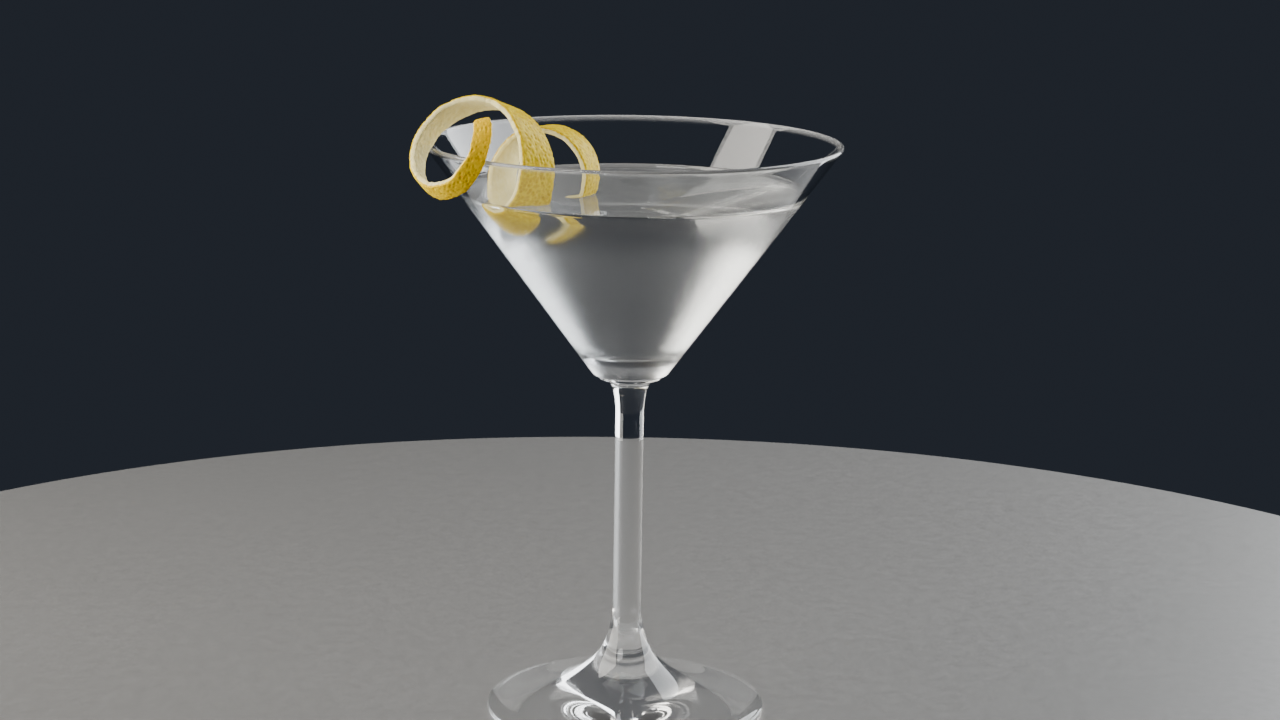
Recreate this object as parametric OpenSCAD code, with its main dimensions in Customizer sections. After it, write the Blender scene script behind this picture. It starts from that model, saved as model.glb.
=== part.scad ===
// Martini cocktail: a stemmed cocktail glass, its drink and a lemon twist over the rim.
// Millimetres, +Z up. The origin is the centre of the foot's underside.
// The twist hooks over the rim on the left, -X, and towards the front, -Y.

/* [Bowl] */
// Height of the glass, from the table to the rim
glass_height = 167; // [145:1:201]
// Outside diameter of the rim
rim_diameter = 118; // [98:1:126]
// Wall thickness at the rim, square to the wall; the rim is rolled to a full round of it
rim_wall = 1.2; // [1:0.1:2]
// Height of the bowl's underside above the table
bowl_base_height = 100; // [70:1:108]
// Outside diameter that the bowl's cone would have at its underside
bowl_base_diameter = 21; // [19:0.5:26]
// Radius of the rounded corner between the underside and the cone
base_corner = 1.8; // [0.5:0.1:2]
// Thickness of the solid glass under the drink
base_thickness = 7.5; // [4:0.5:12]
// Wall thickness where the inside of the cone meets its rounded floor, measured level
lower_wall = 2.4; // [1.6:0.1:3]
// Radius of the rounded floor inside the cone
floor_radius = 12; // [8:0.5:14]

/* [Collar and stem] */
// Diameter of the collar under the bowl
collar_diameter = 17.6; // [15:0.2:18.4]
// Height of the collar's edge
collar_edge = 0.6; // [0.4:0.1:1]
// Height of the collar's sloping underside
collar_slope = 0.8; // [0.4:0.1:1.5]
// Depth of the groove between the collar and the bowl
groove_depth = 0.4; // [0.2:0.1:0.8]
// Height of the groove between the collar and the bowl
groove_height = 0.3; // [0.2:0.1:0.6]
// Diameter of the stem
stem_diameter = 8.1; // [6:0.1:10]
// How far the stem widens into the collar, on each side
neck_spread = 2.7; // [1:0.1:2.9]
// Height over which the stem widens into the collar
neck_height = 9.5; // [5:0.5:14]

/* [Foot] */
// Diameter of the foot
foot_diameter = 80.6; // [65:0.2:95]
// Thickness of the foot at its edge
foot_edge = 2.8; // [2:0.1:4]
// Radius of the rounding on the foot's edge
foot_rounding = 1.1; // [0.5:0.1:1.4]
// Height at which the foot's flare has run out into the stem
flare_height = 30; // [20:1:40]
// How closely the flare hugs the stem, as a distance inside the stem's surface
flare_hug = 0.75; // [0.4:0.05:1.5]
// Width of the flat ring that the glass rests on
rest_ring = 4; // [2:0.5:8]
// Depth of the shallow hollow inside that ring
foot_hollow = 1; // [0.3:0.1:1.5]

/* [Drink] */
// Depth from the rim down to the drink's surface
fill_gap = 14; // [10:1:20]
// Gap left in the drink round the twist
drink_gap = 0.1; // [0.05:0.05:0.3]

/* [Lemon twist] */
// Where the twist hooks over the rim, turned from +X towards +Y
hook_angle = 212; // [190:1:230]
// Number of turns from the free end to the tail
twist_turns = 2.3; // [1.8:0.1:2.5]
// Thickness of the peel
peel_thickness = 2; // [1.6:0.1:2.4]
// Radius that the strip's long edges are rounded to
peel_rounding = 0.5; // [0.2:0.1:0.7]
// Angle round the coil at which the free end starts, up from the side
free_end_angle = 35; // [20:1:50]
// Angle that the coil's axis dips by at the free end
first_dip = 38; // [30:1:45]
// Angle that the coil's axis dips by after two and a half turns
last_dip = -2; // [-10:1:10]
// Angle that the strip leans outwards at the free end
free_end_lean = 65; // [40:1:75]
// Angle that the rest of the strip leans outwards
strip_lean = 5; // [0:1:12]

/* [Hidden] */
$fn = 96;

rim_radius = rim_diameter / 2;
base_radius = bowl_base_diameter / 2;
collar_radius = collar_diameter / 2;
stem_radius = stem_diameter / 2;
foot_radius = foot_diameter / 2;

// The rim is a full round, and both faces of the cone run up to touch it. From a point below, this
// is the level distance that a face gains for each millimetre of height; side is 1 for the outside
rim_roll = rim_wall / 2;
rim_centre = [rim_radius - rim_roll, glass_height - rim_roll];
function spread_from(r, z, side) = let (reach = rim_centre - [r, z])
    tan(atan(reach.x / reach.y) + side * asin(rim_roll / norm(reach)));

// Outside of the cone
cone_spread = spread_from(base_radius, bowl_base_height, 1);
function cone_radius(z) = base_radius + cone_spread * (z - bowl_base_height);

// Inside of the cone: it is thinner walled at the rim than at the floor
floor_height = bowl_base_height + base_thickness;
cavity_radius = cone_radius(floor_height) - lower_wall;
cavity_spread = spread_from(cavity_radius, floor_height, -1);
function inside_radius(z) = cavity_radius + cavity_spread * (z - floor_height);

// The rounded floor is an arc that touches both the cone's inside and the floor's level
cavity_slope = atan(1 / cavity_spread);
floor_flat = cavity_radius - floor_radius * tan(cavity_slope / 2);
floor_steps = 10;
function floor_arc() = concat([[0, floor_height]], [for (i = [0:floor_steps])
    let (a = cavity_slope * i / floor_steps)
    [floor_flat + floor_radius * sin(a), floor_height + floor_radius * (1 - cos(a))]]);

// The drink's surface meets the wall at a point that the glass and the drink share
drink_level = glass_height - fill_gap;
function drink_edge() = [inside_radius(drink_level), drink_level];

collar_top = bowl_base_height - groove_height;
neck_top = collar_top - collar_edge - collar_slope;

// Points along an arc of radius r about a centre, from one angle to another
function arc(centre, r, from, to, steps) = [for (i = [0:steps])
    let (a = from + (to - from) * i / steps) centre + r * [cos(a), sin(a)]];

// The top of the foot falls away from the stem along a logarithm, steep first and then flat
flare_axis = stem_radius - flare_hug;
flare_scale = (flare_height - foot_edge) / ln((foot_radius - flare_axis) / flare_hug);
function flare_z(r) = foot_edge + flare_scale * ln((foot_radius - flare_axis) / (r - flare_axis));
flare_steps = 22;
function flare() = [for (i = [0:flare_steps])
    let (hug = flare_hug * pow((foot_radius - foot_rounding - flare_axis) / flare_hug, i / flare_steps))
    [flare_axis + hug, flare_z(flare_axis + hug)]];

// The foot's underside is hollowed like a very shallow bowl
hollow_steps = 12;
hollow_radius = foot_radius - foot_rounding - rest_ring;
function hollow() = [for (i = [hollow_steps:-1:0]) let (share = i / hollow_steps)
    [hollow_radius * share, foot_hollow * (1 - share * share)]];

// The stem widens into the collar along a quarter of an ellipse
neck_steps = 8;
function neck() = [for (i = [neck_steps:-1:0]) let (a = 90 * i / neck_steps)
    [stem_radius + neck_spread * (1 - cos(a)), neck_top - neck_height * (1 - sin(a))]];

// Half of the section through the glass, from the rim down the outside and back up the inside.
// The rim's round starts where the outside of the cone touches it and ends where the inside does
cone_slope = atan(1 / cone_spread);
rim_steps = 9;
corner_steps = 5;
foot_top_angle = 80;
corner_centre = [base_radius - base_corner * tan(cone_slope / 2), bowl_base_height + base_corner];
function outside_line() = concat(
    arc(rim_centre, rim_roll, 90 + cavity_slope, cone_slope - 90, rim_steps),
    arc(corner_centre, base_corner, cone_slope - 90, -90, corner_steps),
    [
        [collar_radius - groove_depth, bowl_base_height],
        [collar_radius - groove_depth, collar_top],
        [collar_radius, collar_top],
        [collar_radius, collar_top - collar_edge]
    ],
    neck(),
    flare(),
    arc([foot_radius - foot_rounding, foot_edge - foot_rounding], foot_rounding, foot_top_angle, 0,
        corner_steps),
    arc([foot_radius - foot_rounding, foot_rounding], foot_rounding, 0, -90, corner_steps)
);

module glass() {
    color("aliceblue")
    rotate_extrude()
    polygon(concat(
        outside_line(),
        hollow(),
        floor_arc(),
        [drink_edge()]
    ));
}

// Values given at each half turn of the twist are joined by a smooth curve
function smooth_at(values, u) = let (
    last = len(values) - 1,
    i = max(0, min(floor(u), last - 1)),
    f = u - i,
    before = values[max(i - 1, 0)],
    here = values[i],
    next = values[i + 1],
    after = values[min(i + 2, last)]
) here + f / 2 * (next - before + f * (2 * before - 5 * here + 4 * next - after
    + f * (3 * (here - next) + after - before)));

// The coil at each half turn from the free end. Its centre is placed from the middle of the rim's
// round, where the twist hooks over it: the level distance outwards,
coil_away = [3.7, -2.8, -14.1, -26, -34.2, -38.5];
// the distance to the side,
coil_aside = [1.3, 4.1, -1.7, 1, -5.7, -7.7];
// and the height.
coil_lift = [4, 3.5, -3, -6, -7, -6];
// The radius of the coil's inside, at the pith,
coil_inside = [13, 14.5, 13, 11, 10.5, 14];
// the way its axis heads, turned from the line that runs in from the hook to the glass's middle,
coil_heading = [13, 28, 18, 23, 38, 28];
// and the width of the strip
strip_width = [4.5, 6.5, 11, 12.5, 9, 7];

function coil_centre(t) = let (
    r = rim_centre.x + smooth_at(coil_away, 2 * t),
    side = smooth_at(coil_aside, 2 * t)
) [
    r * cos(hook_angle) - side * sin(hook_angle),
    r * sin(hook_angle) + side * cos(hook_angle),
    glass_height + smooth_at(coil_lift, 2 * t)
];
function coil_radius(t) = smooth_at(coil_inside, 2 * t) + peel_thickness / 2;
function coil_way(t) = hook_angle - 180 + smooth_at(coil_heading, 2 * t);

function unit(v) = v / norm(v);
function coil_angle(t) = free_end_angle - 360 * t;
// The axis's dip runs from its first angle to its last over this many turns
dip_turns = 2.5;
function coil_dip(t) = first_dip + (last_dip - first_dip) * t / dip_turns;
function coil_axis(t) = let (h = coil_way(t), d = coil_dip(t))
    [cos(h) * cos(d), sin(h) * cos(d), -sin(d)];
function coil_side(t) = let (h = coil_way(t)) [sin(h), -cos(h), 0];
function coil_outward(t) = cos(coil_angle(t)) * coil_side(t)
    + sin(coil_angle(t)) * cross(coil_side(t), coil_axis(t));
function spine(t) = coil_centre(t) + coil_radius(t) * coil_outward(t);

// Directions along the strip, across it and out through its zest
heading_step = 0.004;
function along(t) = unit(spine(t + heading_step) - spine(t - heading_step));
function lean(t) = strip_lean + free_end_lean * pow(max(0, 1 - 2 * t), 2);
function across(t) = let (
    a = cos(lean(t)) * coil_axis(t) + sin(lean(t)) * coil_outward(t),
    s = along(t)
) unit(a - (a * s) * s);
function outward(t) = cross(across(t), along(t));

// The free end is cut square with round corners, and the tail runs out to a point. The round and
// the taper are lengths in turns, and the shares are of the strip's whole width
free_end_round = 0.03;
free_end_share = 0.6;
tail_taper = 0.22;
tail_tip = 0.2;
function end_share(t) = min(
    free_end_share + (1 - free_end_share) * sqrt(1 - pow(max(0, 1 - t / free_end_round), 2)),
    tail_tip + (1 - tail_tip) * sin(90 * min(1, max(0, twist_turns - t) / tail_taper))
);
function half_width(t) = smooth_at(strip_width, 2 * t) * end_share(t) / 2;

// Half of the strip's section, with its corners cut off, and the whole of it
function section(w, h) = let (c = peel_rounding)
    [[w, c - h], [w, h - c], [w - c, h], [c - w, h], [-w, h - c], [-w, c - h], [c - w, -h], [w - c, -h]];
function strip_ring(t, gap, end) = [for (p = section(half_width(t) + gap, peel_thickness / 2 + gap))
    spine(t) + p.x * across(t) + p.y * outward(t) + end * gap * along(t)];

// The values above suit a wall that slants by this angle off upright. On a wall that slants more
// or less, the twist turns with the wall about the place where it hooks over the rim
shaped_slant = 36.2;
module lean_with_wall() {
    hook = [rim_centre.x * cos(hook_angle), rim_centre.x * sin(hook_angle), glass_height];
    round_the_rim = [-sin(hook_angle), cos(hook_angle), 0];
    translate(hook)
    rotate(a = atan(cone_spread) - shaped_slant, v = round_the_rim)
    translate(-hook)
    children();
}

// The strip, or with a gap the space that it takes up in the drink
rings_per_turn = 26;
rings = ceil(twist_turns * rings_per_turn);
module twist_strip(gap) {
    sides = 8;
    points = [for (i = [0:rings]) let (end = i == 0 ? -1 : i == rings ? 1 : 0)
        each strip_ring(twist_turns * i / rings, gap, end)];
    walls = [for (i = [0:rings - 1]) for (j = [0:sides - 1]) let (
        a = i * sides + j,
        b = i * sides + (j + 1) % sides,
        c = b + sides,
        d = a + sides
    ) each [[a, b, c], [a, c, d]]];
    first_cap = [for (j = [sides - 1:-1:0]) j];
    last_cap = [for (j = [0:sides - 1]) rings * sides + j];
    lean_with_wall()
    polyhedron(points, concat([first_cap], walls, [last_cap]));
}

module lemon_twist() {
    color("gold")
    twist_strip(0);
}

module drink() {
    color("gainsboro")
    difference() {
        rotate_extrude()
        polygon(concat(
            floor_arc(),
            [drink_edge(), [0, drink_level]]
        ));
        twist_strip(drink_gap);
    }
}

glass();
drink();
lemon_twist();
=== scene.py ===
"""Martini cocktail: a stemmed glass with a misted bowl, its drink and a twist of lemon peel."""

import math

import bmesh
import bpy
from bpy.props import FloatProperty, FloatVectorProperty, IntProperty, PointerProperty
from mathutils import Matrix, Vector, noise
from mathutils.bvhtree import BVHTree


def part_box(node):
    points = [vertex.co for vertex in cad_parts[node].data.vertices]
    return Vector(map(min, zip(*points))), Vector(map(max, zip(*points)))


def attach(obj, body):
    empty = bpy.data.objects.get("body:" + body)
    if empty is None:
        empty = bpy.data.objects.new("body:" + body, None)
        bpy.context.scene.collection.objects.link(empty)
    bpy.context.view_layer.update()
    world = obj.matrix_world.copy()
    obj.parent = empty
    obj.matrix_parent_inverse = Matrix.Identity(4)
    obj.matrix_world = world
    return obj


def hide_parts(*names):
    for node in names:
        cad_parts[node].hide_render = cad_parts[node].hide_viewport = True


bl_info = {
    "name": "Martini Cocktail",
    "version": (1, 0, 0),
    "blender": (4, 5, 0),
    "location": "3D View > Sidebar > Cocktail",
    "description": "Makes a stemmed cocktail glass, its drink and a twist of lemon peel",
    "category": "Add Mesh",
}

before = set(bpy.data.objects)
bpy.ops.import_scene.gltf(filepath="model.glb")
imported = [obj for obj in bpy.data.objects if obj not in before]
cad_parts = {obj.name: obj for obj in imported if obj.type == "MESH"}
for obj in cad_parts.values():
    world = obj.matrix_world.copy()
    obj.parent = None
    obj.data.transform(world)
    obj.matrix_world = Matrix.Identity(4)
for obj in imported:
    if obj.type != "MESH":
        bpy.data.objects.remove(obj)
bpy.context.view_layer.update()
GLASS_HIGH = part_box("glass")[1]
DRINK_LOW, DRINK_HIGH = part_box("drink")

MM = 0.001
FULL_TURN = 2 * math.pi
# Points closer than this are one point
NEAR = 1e-6
# Height of the bowl's underside
BOWL_LOW = 100 * MM


# ---------------------------------------------------------------- properties


def length(name, description, default, high=0.4):
    """A size in metres."""
    return FloatProperty(
        name=name,
        description=description,
        default=default,
        min=0.0,
        max=high,
        precision=5,
        unit="LENGTH",
        subtype="DISTANCE",
    )


def share(name, description, default):
    """A plain number from 0 to 1."""
    return FloatProperty(name=name, description=description, default=default, min=0.0, max=1.0)


def angle(name, description, degrees):
    """An angle, given here in degrees."""
    return FloatProperty(
        name=name,
        description=description,
        default=math.radians(degrees),
        unit="ROTATION",
        subtype="ANGLE",
    )


def stations(name, description, values, unit="LENGTH"):
    """One value for each half turn of the peel's coil."""
    return FloatVectorProperty(
        name=name,
        description=description,
        default=values,
        size=len(values),
        unit=unit,
        precision=5,
    )


def colour(name, description, value):
    """A colour in linear light."""
    return FloatVectorProperty(
        name=name,
        description=description,
        default=value,
        size=3,
        min=0.0,
        max=1.0,
        subtype="COLOR",
    )


class CocktailGlass(bpy.types.PropertyGroup):
    """Sizes and finish of the stemmed glass."""

    height: length("Height", "From the table to the rim", GLASS_HIGH.z)
    rim_radius: length("Rim radius", "Outside radius of the rim", GLASS_HIGH.x)
    rim_wall: length("Rim wall", "Thickness of the wall at the rim, square to it", 1.2 * MM)
    bowl_height: length("Bowl height", "From the table to the bowl's underside", BOWL_LOW)
    bowl_radius: length("Bowl base radius", "Radius that the cone has at its underside", 10.5 * MM)
    bowl_corner: length("Bowl corner", "Radius between the underside and the cone", 1.8 * MM)
    base_thickness: length("Base thickness", "Solid glass under the drink", DRINK_LOW.z - BOWL_LOW)
    lower_wall: length("Lower wall", "Level thickness of the wall at the floor", 2.4 * MM)
    floor_corner: length("Floor corner", "Radius of the rounded floor", 12 * MM)
    collar_radius: length("Collar radius", "Radius of the collar under the bowl", 8.8 * MM)
    collar_edge: length("Collar edge", "Height of the collar's edge", 0.6 * MM)
    collar_slope: length("Collar slope", "Height of the collar's sloping underside", 0.8 * MM)
    groove_depth: length("Groove depth", "Depth of the groove over the collar", 0.4 * MM)
    groove_height: length("Groove height", "Height of the groove over the collar", 0.3 * MM)
    stem_radius: length("Stem radius", "Radius of the stem", 4.05 * MM)
    neck_spread: length("Neck spread", "How far the stem widens into the collar", 2.7 * MM)
    neck_height: length("Neck height", "Height over which the stem widens", 9.5 * MM)
    foot_radius: length("Foot radius", "Radius of the foot", 40.3 * MM)
    foot_edge: length("Foot edge", "Thickness of the foot at its edge", 2.8 * MM)
    foot_corner: length("Foot corner", "Radius of the rounding on the foot's edge", 1.1 * MM)
    flare_height: length("Flare height", "Height where the foot has run out into the stem", 30 * MM)
    flare_hug: length("Flare hug", "How closely the flare hugs the stem", 0.75 * MM)
    rest_ring: length("Rest ring", "Width of the ring that the glass rests on", 4 * MM)
    foot_hollow: length("Foot hollow", "Depth of the hollow under the foot", 1 * MM)
    softening: length("Softening", "Rounding of the collar's fire-polished edges", 0.16 * MM)
    spin_steps: IntProperty(
        name="Spin steps", description="Faces round the glass", default=240, min=24, max=360
    )
    mist_top: length("Mist top", "Height where the mist on the bowl starts", DRINK_HIGH.z - 1 * MM)
    mist_foot: length("Mist foot", "Height where the mist on the bowl ends", 101.5 * MM)
    # Painted highlight: the rim and, faintly, the foot turn partly into a matt white surface that
    # lights up
    rim_painted_glow: share("Rim glow", "Share of the light that the rim gives back", 0.15)
    foot_painted_glow: share("Foot glow", "Glow of the foot, as a share of the rim's", 0.2)
    mist_roughness: share("Mist roughness", "How strongly the mist scatters light", 0.21)
    mist_tint: colour("Mist tint", "Colour that the mist lets pass", (0.56, 0.58, 0.61))
    glass_tint: colour("Glass tint", "Colour of the clear glass", (0.985, 0.99, 0.99))
    clearness: share("Clearness", "Share of the light that reaches its shadow", 0.8)


class CocktailDrink(bpy.types.PropertyGroup):
    """Sizes and finish of the drink."""

    level: length("Level", "Height of the drink's surface", DRINK_HIGH.z)
    reach: length("Reach", "How far the drink reaches into the wall, so no air shows", 0.1 * MM)
    climb: length("Climb", "How far the surface climbs the wall", 0.9 * MM)
    climb_width: length("Climb width", "Width over which the surface climbs", 1.3 * MM)
    peel_climb: length("Peel climb", "How far the surface climbs the peel", 0.5 * MM)
    ring_width: length("Ring width", "Width of the rings of faces on the surface", 0.8 * MM)
    spin_steps: IntProperty(
        name="Spin steps", description="Faces round the drink", default=192, min=24, max=360
    )
    tint: colour("Tint", "Colour of the drink", (0.985, 0.985, 0.97))
    swirl_tint: colour("Swirl tint", "Colour of the swirls in the drink", (0.97, 0.975, 0.965))
    clearness: share("Clearness", "Share of the light that reaches its shadow", 0.85)


class CocktailPeel(bpy.types.PropertyGroup):
    """Sizes and finish of the lemon peel."""

    hook_angle: angle("Hook angle", "Where the peel hooks over the rim, from +X to +Y", 212)
    turns: FloatProperty(
        name="Turns", description="Turns from the free end to the tail", default=2.3, min=1, max=2.5
    )
    thickness: length("Thickness", "Thickness of the peel", 2 * MM)
    away: stations(
        "Away",
        "Level distance of the coil's centre out from the rim",
        [d * MM for d in (3.7, -2.8, -14.1, -26, -34.2, -38.5)],
    )
    aside: stations(
        "Aside",
        "Distance of the coil's centre to the side",
        [d * MM for d in (1.3, 4.1, -1.7, 1, -5.7, -7.7)],
    )
    lift: stations(
        "Lift",
        "Height of the coil's centre over the rim",
        [d * MM for d in (4, 3.5, -3, -6, -7, -6)],
    )
    inside: stations(
        "Inside",
        "Radius of the coil's inside",
        [d * MM for d in (13, 14.5, 13, 11, 10.5, 14)],
    )
    heading: stations(
        "Heading",
        "Way that the coil's axis heads, from the line to the glass's middle",
        [math.radians(d) for d in (13, 28, 18, 23, 38, 28)],
        unit="ROTATION",
    )
    width: stations(
        "Width",
        "Width of the strip",
        [d * MM for d in (4.5, 6.5, 11, 12.5, 9, 7)],
    )
    free_angle: angle("Free end angle", "Where the free end starts, up from the side", 35)
    first_dip: angle("First dip", "Dip of the coil's axis at the free end", 38)
    last_dip: angle("Last dip", "Dip of the coil's axis at the end of the dip turns", -2)
    dip_turns: FloatProperty(
        name="Dip turns",
        description="Turns over which the dip goes from first to last",
        default=2.5,
        min=0.1,
    )
    free_lean: angle("Free end lean", "How far the strip leans out at the free end", 65)
    lean: angle("Lean", "How far the rest of the strip leans out", 5)
    free_share: share("Free end share", "Width of the free end, as a share of the strip's", 0.6)
    free_round: share("Free end round", "Turns over which the free end's corners round", 0.03)
    tail_share: share("Tail share", "Width of the tail's point, as a share of the strip's", 0.2)
    taper: share("Taper", "Turns over which the tail narrows", 0.22)
    zest_depth: length("Zest depth", "Depth of the yellow zest at the cut edges", 0.59 * MM)
    pore_size: length("Pore size", "Distance between the oil pores of the zest", 1.05 * MM)
    pore_depth: length("Pore depth", "Depth of the oil pores", 0.2 * MM)
    raggedness: length("Raggedness", "How far the knife wandered along the edges", 0.35 * MM)
    rings_per_turn: IntProperty(
        name="Rings per turn", description="Rings of faces in a turn", default=330, min=60, max=400
    )
    zest: colour("Zest", "Colour of the zest", (0.62, 0.41, 0.0))
    pale_zest: colour("Pale zest", "Colour of the zest's paler patches", (0.70, 0.51, 0.0))
    # Painted highlight: a paler colour on the ridges between the pores
    ridge_highlight_zest: colour("Ridge zest", "Colour of the ridges between the pores", (0.92, 0.71, 0.03))
    end_zest: colour("End zest", "Colour of the zest at the free end", (0.86, 0.51, 0.0))
    pith: colour("Pith", "Colour of the pith", (0.80, 0.69, 0.30))
    pale_pith: colour("Pale pith", "Colour of the pith's paler fibres", (0.85, 0.76, 0.42))


class CocktailStage(bpy.types.PropertyGroup):
    """The floor, the air all round and the camera's lens."""

    floor_radius: length("Floor radius", "Radius of the round floor", 0.33, high=2.0)
    floor_colour: colour("Floor colour", "Colour of the floor", (0.155, 0.1525, 0.15))
    air_colour: colour("Air colour", "Colour of the air all round", (0.018, 0.022, 0.030))
    lens: FloatProperty(
        name="Lens", description="Focal length of the camera in millimetres", default=76.67
    )


# ------------------------------------------------------------------- shapes


def arc(centre, radius, start, end, steps):
    """Points of an arc in the (radius, height) plane, with its angles in degrees."""
    turns = [math.radians(start + (end - start) * i / steps) for i in range(steps + 1)]
    return [(centre[0] + radius * math.cos(a), centre[1] + radius * math.sin(a)) for a in turns]


def stretch(start, end, spacing):
    """Points that divide a straight stretch, without its ends."""
    pieces = max(1, round(math.dist(start, end) / spacing))
    return [
        (start[0] + (end[0] - start[0]) * i / pieces, start[1] + (end[1] - start[1]) * i / pieces)
        for i in range(1, pieces)
    ]


def joined(*lines):
    """Lines of points one after another, with the straight stretches between them divided."""
    spacing = 1.5 * MM
    points = list(lines[0])
    for line in lines[1:]:
        points += stretch(points[-1], line[0], spacing) + list(line)
    return points


def smoothstep(low, high, value):
    """Rises smoothly from 0 at low to 1 at high."""
    s = min(1.0, max(0.0, (value - low) / (high - low)))
    return s * s * (3 - 2 * s)


def spread_from(glass, radius, height, side):
    """Level distance that a face of the cone gains per metre of height, up to the rim's round."""
    roll = glass.rim_wall / 2
    away = glass.rim_radius - roll - radius
    up = glass.height - roll - height
    return math.tan(math.atan2(away, up) + side * math.asin(roll / math.hypot(away, up)))


def cone_radius(glass, height):
    """Radius of the bowl's outside."""
    spread = spread_from(glass, glass.bowl_radius, glass.bowl_height, 1)
    return glass.bowl_radius + spread * (height - glass.bowl_height)


def cavity(glass):
    """Height of the cavity's floor, the cone's inside radius there and its spread."""
    height = glass.bowl_height + glass.base_thickness
    radius = cone_radius(glass, height) - glass.lower_wall
    return height, radius, spread_from(glass, radius, height, -1)


def inside_radius(glass, height):
    """Radius of the bowl's inside."""
    floor_height, radius, spread = cavity(glass)
    return radius + spread * (height - floor_height)


def floor_line(glass, grow=0.0):
    """The rounded floor from the middle outwards; grow moves it out into the glass."""
    height, radius, spread = cavity(glass)
    slope = math.degrees(math.atan(1 / spread))
    flat = radius - glass.floor_corner * math.tan(math.radians(slope) / 2)
    centre = (flat, height + glass.floor_corner)
    steps = 16
    return [(0.0, height - grow)] + arc(centre, glass.floor_corner + grow, -90, slope - 90, steps)


def underside_line(glass):
    """The foot's underside and edge, from the middle outwards."""
    corner = glass.foot_corner
    flat_end = glass.foot_radius - corner
    hollow = flat_end - glass.rest_ring
    rings, corner_steps = 16, 6
    # The arcs stop a little short of level, where the foot's faces carry on
    low_angle, high_angle, ease = -84, 82, 0.5 * MM
    points = [
        (hollow * i / rings, glass.foot_hollow * (1 - (i / rings) ** 2)) for i in range(rings + 1)
    ]
    points += [(flat_end - ease, 0.0)]
    points += arc((flat_end, corner), corner, low_angle, 0, corner_steps)
    points += arc((flat_end, glass.foot_edge - corner), corner, 0, high_angle, corner_steps)
    return points


def flare_line(glass):
    """The top of the foot, which sweeps up into the stem along a logarithm."""
    axis = glass.stem_radius - glass.flare_hug
    whole = glass.foot_radius - axis
    edge = whole - glass.foot_corner
    scale = (glass.flare_height - glass.foot_edge) / math.log(whole / glass.flare_hug)
    steps = 44
    points = []
    for i in range(steps + 1):
        hug = edge * (glass.flare_hug / edge) ** (i / steps)
        points.append((axis + hug, glass.foot_edge + scale * math.log(whole / hug)))
    return points


def neck_line(glass):
    """The top of the stem, which widens into the collar along a quarter of an ellipse."""
    top = glass.bowl_height - glass.groove_height - glass.collar_edge - glass.collar_slope
    steps = 14
    turns = [math.radians(90 * i / steps) for i in range(steps + 1)]
    return [
        (
            glass.stem_radius + glass.neck_spread * (1 - math.cos(a)),
            top - glass.neck_height * (1 - math.sin(a)),
        )
        for a in turns
    ]


def collar_line(glass):
    """The collar and the groove over it."""
    top = glass.bowl_height - glass.groove_height
    return [
        (glass.collar_radius, top - glass.collar_edge),
        (glass.collar_radius, top),
        (glass.collar_radius - glass.groove_depth, top),
        (glass.collar_radius - glass.groove_depth, glass.bowl_height),
    ]


def bowl_line(glass):
    """The bowl's outside and its rolled rim, from the underside up and over."""
    slant = math.atan(spread_from(glass, glass.bowl_radius, glass.bowl_height, 1))
    tuck = glass.bowl_corner * math.tan((math.pi / 2 - slant) / 2)
    corner = (glass.bowl_radius - tuck, glass.bowl_height + glass.bowl_corner)
    inner_slant = math.degrees(math.atan(cavity(glass)[2]))
    roll = glass.rim_wall / 2
    rim = (glass.rim_radius - roll, glass.height - roll)
    corner_steps, rim_steps = 8, 16
    return joined(
        arc(corner, glass.bowl_corner, -90, -math.degrees(slant), corner_steps),
        arc(rim, roll, -math.degrees(slant), 180 - inner_slant, rim_steps),
    )


def wire(bm, line):
    """A chain of edges through the line's points."""
    verts = [bm.verts.new((radius, 0.0, height)) for radius, height in line]
    return [bm.edges.new(pair) for pair in zip(verts, verts[1:])]


def soften(bm, corners, size):
    """Rounds the chain's corners at the points given."""
    verts = [
        v
        for v in bm.verts
        if any(math.dist((v.co.x, v.co.z), corner) < NEAR for corner in corners)
    ]
    bmesh.ops.bevel(
        bm,
        geom=verts,
        offset=size,
        offset_type="OFFSET",
        segments=4,
        profile=0.5,
        affect="VERTICES",
        material=-1,
        clamp_overlap=True,
    )


def spun(bm, steps):
    """Spins the chain a quarter turn and mirrors that twice into a closed shell."""
    bmesh.ops.spin(
        bm,
        geom=bm.verts[:] + bm.edges[:],
        cent=(0, 0, 0),
        axis=(0, 0, 1),
        dvec=(0, 0, 0),
        angle=FULL_TURN / 4,
        steps=steps // 4,
        use_merge=False,
        use_duplicate=False,
    )
    for axis in ("X", "Y"):
        geom = bm.verts[:] + bm.edges[:] + bm.faces[:]
        bmesh.ops.mirror(bm, geom=geom, matrix=Matrix.Identity(4), merge_dist=NEAR, axis=axis)
    bmesh.ops.remove_doubles(bm, verts=bm.verts[:], dist=NEAR)
    bmesh.ops.recalc_face_normals(bm, faces=bm.faces[:])


def finished(bm, name, material, node):
    """Makes the bmesh a smooth piece, which stands for a CAD node and takes a slot's finish."""
    for face in bm.faces:
        face.smooth = True
    mesh = bpy.data.meshes.new(name)
    bm.to_mesh(mesh)
    bm.free()
    mesh.materials.append(material)
    piece = bpy.data.objects.new(name, mesh)
    bpy.context.scene.collection.objects.link(piece)
    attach(piece, "root")
    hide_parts(node)


# -------------------------------------------------------------------- peel


def smooth_at(values, u):
    """A smooth curve through values that are one apart."""
    last = len(values) - 1
    i = max(0, min(int(math.floor(u)), last - 1))
    f = u - i
    before, here = values[max(i - 1, 0)], values[i]
    beyond, after = values[i + 1], values[min(i + 2, last)]
    bend = 2 * before - 5 * here + 4 * beyond - after + f * (3 * (here - beyond) + after - before)
    return here + f / 2 * (beyond - before + f * bend)


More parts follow.
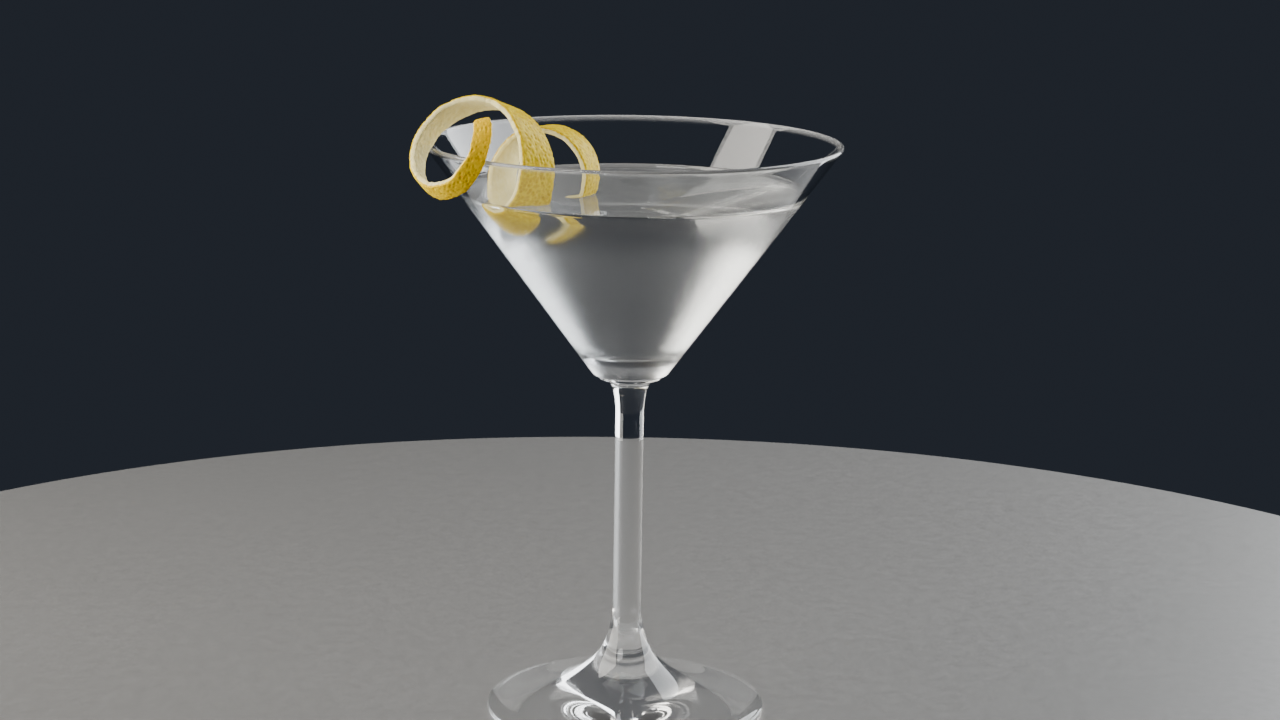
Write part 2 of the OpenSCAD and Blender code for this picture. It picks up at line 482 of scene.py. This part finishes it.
class Coil:
    """The path of the peel: a coil that hooks over the rim, t turns from its free end."""

    def __init__(self, glass, peel):
        self.glass = glass
        self.peel = peel
        self.rim = glass.rim_radius - glass.rim_wall / 2
        # How far before and after a place its direction is measured, in turns
        self.step = 0.004

    def axis_and_side(self, t):
        peel = self.peel
        way = peel.hook_angle - math.pi + smooth_at(peel.heading, 2 * t)
        dip = peel.first_dip + (peel.last_dip - peel.first_dip) * t / peel.dip_turns
        axis = Vector(
            (math.cos(way) * math.cos(dip), math.sin(way) * math.cos(dip), -math.sin(dip))
        )
        return axis, Vector((math.sin(way), -math.cos(way), 0.0))

    def from_axis(self, t):
        """Direction from the coil's centre to the strip."""
        axis, side = self.axis_and_side(t)
        turn = self.peel.free_angle - FULL_TURN * t
        return math.cos(turn) * side + math.sin(turn) * side.cross(axis)

    def spine(self, t):
        """Middle of the strip."""
        peel = self.peel
        out = self.rim + smooth_at(peel.away, 2 * t)
        side = smooth_at(peel.aside, 2 * t)
        c, s = math.cos(peel.hook_angle), math.sin(peel.hook_angle)
        height = self.glass.height + smooth_at(peel.lift, 2 * t)
        centre = Vector((out * c - side * s, out * s + side * c, height))
        radius = smooth_at(peel.inside, 2 * t) + peel.thickness / 2
        return centre + radius * self.from_axis(t)

    def frame(self, t):
        """The strip's middle, and the directions across it and out through its zest."""
        along = (self.spine(t + self.step) - self.spine(t - self.step)).normalized()
        lean = self.peel.lean + self.peel.free_lean * max(0.0, 1 - 2 * t) ** 2
        axis, _ = self.axis_and_side(t)
        across = math.cos(lean) * axis + math.sin(lean) * self.from_axis(t)
        across = (across - across.dot(along) * along).normalized()
        return self.spine(t), across, along.cross(across)

    def half_width(self, t):
        """Half of the strip's width: the free end is cut square and the tail runs to a point."""
        peel = self.peel
        round_left = max(0.0, 1 - t / peel.free_round)
        start = peel.free_share + (1 - peel.free_share) * math.sqrt(1 - round_left**2)
        left = min(1.0, max(0.0, peel.turns - t) / peel.taper)
        tail = peel.tail_share + (1 - peel.tail_share) * math.sin(math.pi / 2 * left)
        return smooth_at(peel.width, 2 * t) * min(start, tail) / 2


def peel_section():
    """The strip's section as (across, outwards) in shares of its half width and half thickness.

    The zest side is crowned and wider than the pith side, because the knife cut it at a slant.
    """
    face, edge = 40, 10
    # How far each face falls away at its edges, and how far the cut edges bulge
    zest_fall, pith_fall, bulge = 0.16, 0.12, 0.05
    pith_width = 0.95
    zest_edge, pith_edge = 1 - zest_fall, -1 + pith_fall
    edge_steps = [(i + 0.5) / edge for i in range(edge)]
    cut = [
        (1 + bulge * math.sin(math.pi * s), zest_edge + (pith_edge - zest_edge) * s)
        for s in edge_steps
    ]
    zest = [2 * (i + 0.5) / face - 1 for i in range(face)]
    pith = [1 - 2 * (i + 0.5) / (face // 2) for i in range(face // 2)]
    return (
        [(x, 1 - zest_fall * abs(x) ** 3) for x in zest]
        + cut
        + [(pith_width * x, -1 + pith_fall * abs(x) ** 3) for x in pith]
        + [(-x, y) for x, y in reversed(cut)]
    )


def pore(point, size):
    """Depth of the zest's oil pores at a point, from 0 on the ridges to 1 in a pore."""
    bottom, ridge = 0.12, 0.52
    distances, _ = noise.voronoi(point / size)
    return 1 - smoothstep(bottom, ridge, distances[0])


def knife_wander(run, side):
    """How the knife wandered along one edge of the strip, with finer nicks, from about -1 to 1."""
    long_wave, short_wave, nick_share = 4.5 * MM, 0.9 * MM, 0.45
    # Each edge and each wave reads a part of the noise of its own
    wander = noise.noise(Vector((run / long_wave, side * 7.3, 0.0)))
    nick = noise.noise(Vector((run / short_wave, side * 3.1, 5.0)))
    return wander + nick_share * nick


def end_thickness(run, whole):
    """Thickness of the strip as a share of the full one, which falls at its rounded ends."""
    free_round, tail_round, end_share = 0.7 * MM, 1.6 * MM, 0.35
    end = min(1.0, run / free_round, (whole - run) / tail_round)
    return end_share + (1 - end_share) * math.sqrt(max(0.0, 1 - (1 - end) ** 2))


def zest_relief(peel, point):
    """Height of the zest's pores and soft lumps at a point."""
    lump_size, lump_height = 3.2 * MM, 0.10 * MM
    pores = -peel.pore_depth * pore(point, peel.pore_size)
    return pores + lump_height * noise.noise(point / lump_size)


def pith_relief(point):
    """Height of the pith's torn fibres at a point."""
    coarse_size, coarse_height = 1.6 * MM, 0.14 * MM
    fine_size, fine_height = 0.6 * MM, 0.07 * MM
    coarse = coarse_height * noise.noise(point / coarse_size)
    return coarse + fine_height * noise.noise(point / fine_size)


def build_peel(bm, glass, peel):
    """A straight tube with the strip's section, bent along the coil and given its relief."""
    coil = Coil(glass, peel)
    section = peel_section()
    rings = math.ceil(peel.turns * peel.rings_per_turn)
    around = len(section)
    bmesh.ops.create_grid(bm, x_segments=around, y_segments=rings, size=0.5)
    for v in bm.verts:
        x, y = section[round((v.co.x + 0.5) * around) % around]
        v.co = (x, y, (v.co.y + 0.5) * rings)
    # The tube is still in shares and rings here, not in metres
    seam = 1e-5
    bmesh.ops.remove_doubles(bm, verts=bm.verts[:], dist=seam)
    bmesh.ops.holes_fill(bm, edges=[e for e in bm.edges if e.is_boundary], sides=0)
    bmesh.ops.poke(bm, faces=[f for f in bm.faces if len(f.verts) > 4])
    bmesh.ops.recalc_face_normals(bm, faces=bm.faces[:])

    zest = bm.verts.layers.float.new("zest")
    place = bm.verts.layers.float.new("place")
    frames = [coil.frame(peel.turns * i / rings) for i in range(rings + 1)]
    halves = [coil.half_width(peel.turns * i / rings) for i in range(rings + 1)]
    travelled = [0.0]
    for a, b in zip(frames, frames[1:]):
        travelled.append(travelled[-1] + (b[0] - a[0]).length)
    half_thick = peel.thickness / 2
    narrowest = 0.25 * MM
    # Heights in the section where the zest turns into pith, over a short blend, and where the
    # zest's pores give way to the pith's fibres
    zest_end, blend, relief_end = 1 - peel.zest_depth / half_thick, 0.05, 0.3
    swell_size, swell_share = 6 * MM, 0.12
    for v in bm.verts:
        i = min(rings, max(0, round(v.co.z)))
        spine, across, out = frames[i]
        x, y = v.co.x, v.co.y
        run = travelled[i]
        ragged = peel.raggedness * abs(x) ** 3 * knife_wander(run, 1 if x > 0 else -1)
        half = max(halves[i] + ragged, narrowest)
        thick = half_thick * end_thickness(run, travelled[-1])
        if y < 0:
            # The pith is thicker in some places
            swell = noise.noise(Vector((run / swell_size, x * 0.8, 9.0)))
            thick *= 1 + swell_share * swell
        v[zest] = smoothstep(zest_end - blend, zest_end + blend, y)
        v[place] = i / rings
        point = spine + across * (x * half) + out * (y * thick)
        relief = zest_relief(peel, point) if y > relief_end else pith_relief(point)
        v.co = point + out * relief * (1 if y > 0 else -1)


# --------------------------------------------------------------- materials


class Finish:
    """A new material, with short ways to add and join its nodes."""

    def __init__(self, name):
        self.material = bpy.data.materials.new(name)
        self.material.use_nodes = True
        self.tree = self.material.node_tree
        self.tree.nodes.clear()
        self.shader = self.add("ShaderNodeBsdfPrincipled")
        self.out = self.add("ShaderNodeOutputMaterial")
        self.put(self.out.inputs["Surface"], self.shader.outputs["BSDF"])

    def add(self, kind, inputs=None, **settings):
        """A new node with its settings, and its inputs as values or as other nodes' outputs."""
        node = self.tree.nodes.new(kind)
        for name, value in settings.items():
            setattr(node, name, value)
        for key, value in (inputs or {}).items():
            self.put(node.inputs[key], value)
        return node

    def put(self, socket, value):
        if isinstance(value, bpy.types.NodeSocket):
            self.tree.links.new(value, socket)
        else:
            socket.default_value = value

    def set(self, **inputs):
        """Sets the shader's own inputs, named with _ for each space."""
        for name, value in inputs.items():
            self.put(self.shader.inputs[name.replace("_", " ")], value)

    def let_light_through(self, share):
        """A clear thing casts a faint shadow, which lets this share of the light pass."""
        passed = self.add("ShaderNodeBsdfTransparent", {"Color": (share, share, share, 1.0)})
        ray = self.add("ShaderNodeLightPath")
        shadow = self.add(
            "ShaderNodeMixShader",
            {0: ray.outputs["Is Shadow Ray"], 1: self.shader.outputs[0], 2: passed.outputs[0]},
        )
        self.put(self.out.inputs["Surface"], shadow.outputs[0])

    def place(self):
        return self.add("ShaderNodeTexCoord").outputs["Object"]

    def noise(self, scale, detail, rough):
        node = self.add(
            "ShaderNodeTexNoise",
            {"Vector": self.place(), "Scale": scale, "Detail": detail, "Roughness": rough},
        )
        return node.outputs["Fac"]

    def attribute(self, name):
        return self.add("ShaderNodeAttribute", attribute_name=name).outputs["Fac"]

    def maths(self, operation, a, b, c=0.0):
        node = self.add("ShaderNodeMath", {0: a, 1: b, 2: c}, operation=operation)
        return node.outputs[0]

    def span(self, value, low, high, new_low, new_high, smooth=False):
        """Maps a value from one range to another."""
        node = self.add(
            "ShaderNodeMapRange",
            {
                "Value": value,
                "From Min": low,
                "From Max": high,
                "To Min": new_low,
                "To Max": new_high,
            },
            interpolation_type="SMOOTHSTEP" if smooth else "LINEAR",
        )
        return node.outputs["Result"]

    def blend(self, factor, a, b):
        """Mixes two colours."""
        node = self.add("ShaderNodeMix", data_type="RGBA")
        for socket, value in (
            (node.inputs[0], factor),
            (node.inputs[6], a),
            (node.inputs[7], b),
        ):
            if isinstance(value, tuple) and len(value) == 3:
                value = (*value, 1.0)
            self.put(socket, value)
        return node.outputs[2]

    def bump(self, height, distance, strength, under=None):
        inputs = {"Height": height, "Distance": distance, "Strength": strength}
        if under is not None:
            inputs["Normal"] = under
        return self.add("ShaderNodeBump", inputs).outputs["Normal"]


def misted_glass(glass):
    """Clear glass with a breath of cold mist on the outside of the chilled bowl."""
    f = Finish("Clear misted glass")
    mist = f.attribute("mist")
    grain = f.noise(2600, 2.0, 0.5)
    clouds = f.noise(60, 3.0, 0.55)
    mist_rough = f.maths(
        "MULTIPLY",
        f.span(clouds, 0.3, 0.7, glass.mist_roughness * 0.96, glass.mist_roughness * 1.04),
        f.span(grain, 0.3, 0.7, 0.97, 1.03),
    )
    # Clear glass is polished, with faint smears from handling
    smears = f.span(f.noise(35, 4.0, 0.6), 0.5, 0.75, 0.0, 0.012)
    f.set(
        Base_Color=f.blend(
            f.maths("MULTIPLY", mist, f.span(clouds, 0.3, 0.7, 0.94, 1.0)),
            tuple(glass.glass_tint),
            tuple(glass.mist_tint),
        ),
        Roughness=f.maths("MULTIPLY_ADD", mist, mist_rough, smears),
        # Painted highlight: the rim and, more faintly, the foot are partly a matt white surface
        # instead of clear glass, standing in for light that runs along inside the glass and leaves
        # there
        Transmission_Weight=f.maths("MULTIPLY_ADD", f.attribute("painted_glow"), -glass.rim_painted_glow, 1.0),
        IOR=1.5,
    )
    # Drawn glass is never quite even, and the mist stands on it as tiny beads
    drawn = f.bump(f.noise(45, 1.0, 0.4), 0.00006, 0.25)
    beads = f.bump(grain, 0.00002, f.maths("MULTIPLY", mist, 0.25), drawn)
    f.set(Normal=beads)
    f.let_light_through(glass.clearness)
    return f.material


def clear_drink(drink):
    """Clear spirit, cold enough to look a little thick, with hardly a ripple on it."""
    f = Finish("Clear drink")
    swirl = f.noise(55, 2.0, 0.5)
    f.set(
        Base_Color=f.blend(swirl, tuple(drink.tint), tuple(drink.swirl_tint)),
        Roughness=f.span(f.noise(90, 2.0, 0.5), 0.4, 0.8, 0.0, 0.01),
        Transmission_Weight=1.0,
        IOR=1.36,
        Normal=f.bump(f.noise(38, 1.0, 0.4), 0.00008, 0.25),
    )
    f.let_light_through(drink.clearness)
    return f.material


def lemon_peel(peel):
    """Pored, oily zest over cream-coloured, fibrous pith."""
    f = Finish("Lemon peel")
    zest = f.attribute("zest")
    place = f.attribute("place")
    cells = f.add("ShaderNodeTexVoronoi", {"Vector": f.place(), "Scale": 1 / peel.pore_size})
    from_pore = cells.outputs["Distance"]
    pit_shade = f.span(from_pore, 0.1, 0.5, 1.0, 0.0, smooth=True)
    patches = f.noise(190, 3.0, 0.6)
    fibres = f.noise(900, 4.0, 0.65)
    ripe = f.span(patches, 0.35, 0.68, 0.0, 0.7)
    skin = f.blend(ripe, tuple(peel.zest), tuple(peel.pale_zest))
    # Painted shade: the zest is darker down in the pores
    shaded_pores = tuple(c * k for c, k in zip(peel.zest, (0.84, 0.7, 0.4)))
    skin = f.blend(f.maths("MULTIPLY", pit_shade, 0.4), skin, shaded_pores)
    # Painted highlight: the ridges between the pores are paler, standing in for wax that catches
    # the light
    ridge_highlight = f.span(from_pore, 0.4, 0.75, 0.0, 0.45, smooth=True)
    skin = f.blend(ridge_highlight, skin, tuple(peel.ridge_highlight_zest))
    # The free end is the deepest yellow
    skin = f.blend(f.span(place, 0.0, 0.2, 0.75, 0.0), skin, tuple(peel.end_zest))
    paler = f.span(fibres, 0.35, 0.7, 0.0, 1.0)
    flesh = f.blend(paler, tuple(peel.pith), tuple(peel.pale_pith))
    # The zest ends in a slightly frayed line at the cut edges
    edge = f.maths("ADD", zest, f.span(fibres, 0.3, 0.7, -0.18, 0.18))
    edge = f.span(edge, 0.35, 0.65, 0.0, 1.0, smooth=True)
    f.set(
        Base_Color=f.blend(edge, flesh, skin),
        Roughness=f.maths("MULTIPLY_ADD", edge, -0.24, f.span(fibres, 0.3, 0.7, 0.5, 0.66)),
        Subsurface_Weight=0.05,
        Subsurface_Radius=(1.0, 0.8, 0.2),
        Subsurface_Scale=0.0012,
        Coat_Weight=f.maths("MULTIPLY", edge, 0.06),
        Coat_Roughness=0.08,
        Specular_IOR_Level=0.05,
        IOR=1.45,
        Normal=f.bump(fibres, 0.00008, 0.5),
    )
    return f.material


def pale_floor(stage):
    """A plain, pale matt floor with the faintest unevenness."""
    f = Finish("Pale floor")
    pale = tuple(stage.floor_colour)
    f.set(
        Base_Color=f.blend(f.noise(14, 3.0, 0.5), pale, tuple(c * 0.95 for c in pale)),
        Roughness=f.span(f.noise(220, 2.0, 0.5), 0.3, 0.7, 0.42, 0.55),
    )
    return f.material


# --------------------------------------------------------------- operators


class COCKTAIL_OT_glass(bpy.types.Operator):
    """Make the stemmed glass, with mist on its bowl"""

    bl_idname = "cocktail.make_glass"
    bl_label = "Make the glass"

    def execute(self, context):
        glass = context.scene.cocktail_glass
        bm = bmesh.new()
        neck, collar = neck_line(glass), collar_line(glass)
        line = joined(
            underside_line(glass),
            flare_line(glass),
            neck,
            collar,
            bowl_line(glass),
            list(reversed(floor_line(glass))),
        )
        wire(bm, line)
        soften(bm, collar + [neck[-1]], glass.softening)
        spun(bm, glass.spin_steps)
        mist = bm.verts.layers.float.new("mist")
        # Where the rim and the foot get their painted highlight
        painted_glow = bm.verts.layers.float.new("painted_glow")
        for v in bm.verts:
            v[mist] = self.mist_at(glass, v.co)
            v[painted_glow] = self.painted_glow_at(glass, v.co.z)
        finished(bm, "stemmed_glass", misted_glass(glass), "glass")
        return {"FINISHED"}

    def mist_at(self, glass, point):
        """How thick the mist is: only outside the bowl, from the drink's surface to the base."""
        if point.z < glass.bowl_height + glass.bowl_corner / 2:
            return 0.0
        wall_skin = 0.3 * MM
        if math.hypot(point.x, point.y) < cone_radius(glass, point.z) - wall_skin:
            return 0.0
        # The mist's top and foot wander up and down, and both fade over a few millimetres
        patch, wander = 14 * MM, 1.5 * MM
        outer_fade, top_fade, foot_fade = 1 * MM, 3.5 * MM, 4 * MM
        height = point.z + noise.noise(point / patch) * wander
        thin_out = smoothstep(glass.mist_top - top_fade, glass.mist_top + outer_fade / 2, height)
        set_in = smoothstep(glass.mist_foot - outer_fade, glass.mist_foot + foot_fade, height)
        return (1 - thin_out) * set_in

    def painted_glow_at(self, glass, height):
        """How strong the painted highlight is, where the glass turns partly matt white: fully on
        the rim's round, and a little on the foot.
        """
        rim_low, rim_high = glass.height - 1.1 * MM, glass.height - 0.7 * MM
        foot_low, foot_high = 6 * MM, 14 * MM
        foot = 1 - smoothstep(foot_low, foot_high, height)
        return smoothstep(rim_low, rim_high, height) + glass.foot_painted_glow * foot


class COCKTAIL_OT_drink(bpy.types.Operator):
    """Pour the drink, with its surface climbing the wall and the peel"""

    bl_idname = "cocktail.pour_drink"
    bl_label = "Pour the drink"

    def execute(self, context):
        glass = context.scene.cocktail_glass
        drink = context.scene.cocktail_drink
        peel_piece = bpy.data.objects.get("lemon_peel_strip")
        if peel_piece is None:
            raise RuntimeError("Curl the peel before the drink is poured")
        top = drink.level + drink.climb
        edge = (inside_radius(glass, top) + drink.reach, top)
        wall = inside_radius(glass, drink.level)
        # The rings are narrow near the wall, where the surface climbs, and end short of the middle
        first_gap, last_radius, near_wall, narrow = 0.02 * MM, 0.6 * MM, 4 * MM, 0.2 * MM
        surface = []
        radius = wall - first_gap
        while radius > last_radius:
            climbed = drink.climb * math.exp((radius - wall) / (drink.climb_width / 2))
            surface.append((radius, drink.level + climbed))
            radius -= narrow if wall - radius < near_wall else drink.ring_width
        bm = bmesh.new()
        wire(bm, joined(floor_line(glass, drink.reach), [edge], surface, [(0.0, drink.level)]))
        spun(bm, drink.spin_steps)
        self.climb_peel(bm, drink, peel_piece, context)
        finished(bm, "clear_drink", clear_drink(drink), "drink")
        return {"FINISHED"}

    def climb_peel(self, bm, drink, peel_piece, context):
        """Draws the surface up a little where it meets the peel."""
        farthest, falloff, just_under = 6 * MM, 0.9 * MM, 0.01 * MM
        tree = BVHTree.FromObject(peel_piece, context.evaluated_depsgraph_get())
        for v in bm.verts:
            if v.co.z > drink.level - just_under:
                _, _, _, distance = tree.find_nearest(v.co, farthest)
                if distance is not None:
                    v.co.z += drink.peel_climb * math.exp(-distance / falloff)


class COCKTAIL_OT_peel(bpy.types.Operator):
    """Curl the strip of lemon peel over the rim"""

    bl_idname = "cocktail.curl_peel"
    bl_label = "Curl the lemon peel"

    def execute(self, context):
        glass = context.scene.cocktail_glass
        peel = context.scene.cocktail_peel
        bm = bmesh.new()
        build_peel(bm, glass, peel)
        finished(bm, "lemon_peel_strip", lemon_peel(peel), "lemon_twist")
        return {"FINISHED"}


# Each light's name, its way round in degrees clockwise from straight behind, its distance and
# height, its size, its brightness and its tint
LIGHTS = (
    ("Left softbox", -98, 0.55, 0.24, (0.62, 1.15), 7.0, (1.0, 0.96, 0.89)),
    ("Right softbox", 60, 0.60, 0.24, (0.66, 1.15), 6.4, (0.94, 0.97, 1.0)),
    ("Overhead softbox", 0, 0.10, 0.95, (0.8, 0.3), 0.7, (1.0, 0.99, 0.97)),
    ("Front fill", -150, 0.70, 0.60, (0.3, 0.3), 7.0, (1.0, 0.99, 0.97)),
)
# Height on the bowl that the lights face
AIM_HEIGHT = 0.15
CAMERA_PLACE = (0, -0.760, 0.2695)
# The camera's pitch down, its turn to the right and its roll, in degrees
CAMERA_TURNS = (12.27, 0.207, 0.9)
# The floor lies this far under the foot, so that the two faces don't coincide
FLOOR_DROP = 0.15 * MM


class COCKTAIL_OT_stage(bpy.types.Operator):
    """Set the floor, the soft lights and the camera"""

    bl_idname = "cocktail.set_stage"
    bl_label = "Set the stage"

    def execute(self, context):
        stage = context.scene.cocktail_stage
        self.lay_floor(stage)
        self.fill_air(context, stage)
        for light in LIGHTS:
            self.stand_light(*light)
        self.stand_camera(context, stage)
        return {"FINISHED"}

    def lay_floor(self, stage):
        bm = bmesh.new()
        bmesh.ops.create_circle(bm, cap_ends=True, segments=192, radius=stage.floor_radius)
        bmesh.ops.translate(bm, verts=bm.verts[:], vec=(0, 0, -FLOOR_DROP))
        mesh = bpy.data.meshes.new("pale_floor")
        bm.to_mesh(mesh)
        bm.free()
        mesh.materials.append(pale_floor(stage))
        floor = bpy.data.objects.new("pale_floor", mesh)
        bpy.context.scene.collection.objects.link(floor)

    def fill_air(self, context, stage):
        world = bpy.data.worlds.new("Studio air")
        world.use_nodes = True
        sky = world.node_tree.nodes["Background"]
        sky.inputs["Color"].default_value = (*stage.air_colour, 1.0)
        sky.inputs["Strength"].default_value = 1.0
        context.scene.world = world

    def stand_light(self, name, way, distance, height, size, brightness, tint):
        """A soft, flat light that faces the bowl."""
        turn = math.radians(way)
        place = Vector((distance * math.sin(turn), distance * math.cos(turn), height))
        lamp = bpy.data.lights.new(name, "AREA")
        lamp.shape = "RECTANGLE"
        lamp.size, lamp.size_y = size
        lamp.energy = brightness * math.pi * size[0] * size[1]
        lamp.color = tint
        aim = Vector((0, 0, AIM_HEIGHT)) - place
        light = bpy.data.objects.new(name, lamp)
        light.matrix_world = (
            Matrix.Translation(place) @ aim.to_track_quat("-Z", "Y").to_matrix().to_4x4()
        )
        light.visible_camera = False
        bpy.context.scene.collection.objects.link(light)

    def stand_camera(self, context, stage):
        """Looks down a little at the glass, from in front of it."""
        pitch, yaw, roll = (math.radians(a) for a in CAMERA_TURNS)
        ahead = Vector(
            (math.sin(yaw) * math.cos(pitch), math.cos(yaw) * math.cos(pitch), -math.sin(pitch))
        )
        right = Vector((math.cos(yaw), -math.sin(yaw), 0))
        up = right.cross(ahead)
        right, up = (
            math.cos(roll) * right + math.sin(roll) * up,
            math.cos(roll) * up - math.sin(roll) * right,
        )
        turn = Matrix((right, up, -ahead)).transposed().to_4x4()
        lens = bpy.data.cameras.new("Camera")
        lens.lens = stage.lens
        lens.sensor_width = 36
        camera = bpy.data.objects.new("Camera", lens)
        camera.matrix_world = Matrix.Translation(CAMERA_PLACE) @ turn
        context.scene.collection.objects.link(camera)
        context.scene.camera = camera


class COCKTAIL_PT_panel(bpy.types.Panel):
    """Lists the sizes, the finishes and the steps"""

    bl_idname = "COCKTAIL_PT_panel"
    bl_label = "Martini cocktail"
    bl_space_type = "VIEW_3D"
    bl_region_type = "UI"
    bl_category = "Cocktail"

    def draw(self, context):
        for group, operator in STEPS:
            box = self.layout.box()
            settings = getattr(context.scene, group)
            for name in settings.__annotations__:
                box.prop(settings, name)
            box.operator(operator)


STEPS = (
    ("cocktail_glass", "cocktail.make_glass"),
    ("cocktail_peel", "cocktail.curl_peel"),
    ("cocktail_drink", "cocktail.pour_drink"),
    ("cocktail_stage", "cocktail.set_stage"),
)
GROUPS = {
    "cocktail_glass": CocktailGlass,
    "cocktail_drink": CocktailDrink,
    "cocktail_peel": CocktailPeel,
    "cocktail_stage": CocktailStage,
}
CLASSES = (
    CocktailGlass,
    CocktailDrink,
    CocktailPeel,
    CocktailStage,
    COCKTAIL_OT_glass,
    COCKTAIL_OT_drink,
    COCKTAIL_OT_peel,
    COCKTAIL_OT_stage,
    COCKTAIL_PT_panel,
)


def register():
    for cls in CLASSES:
        bpy.utils.register_class(cls)
    for name, group in GROUPS.items():
        setattr(bpy.types.Scene, name, PointerProperty(type=group))


def unregister():
    for name in GROUPS:
        delattr(bpy.types.Scene, name)
    for cls in reversed(CLASSES):
        bpy.utils.unregister_class(cls)


def main():
    register()
    bpy.ops.cocktail.make_glass()
    bpy.ops.cocktail.curl_peel()
    bpy.ops.cocktail.pour_drink()
    bpy.ops.cocktail.set_stage()


if __name__ == "__main__":
    main()
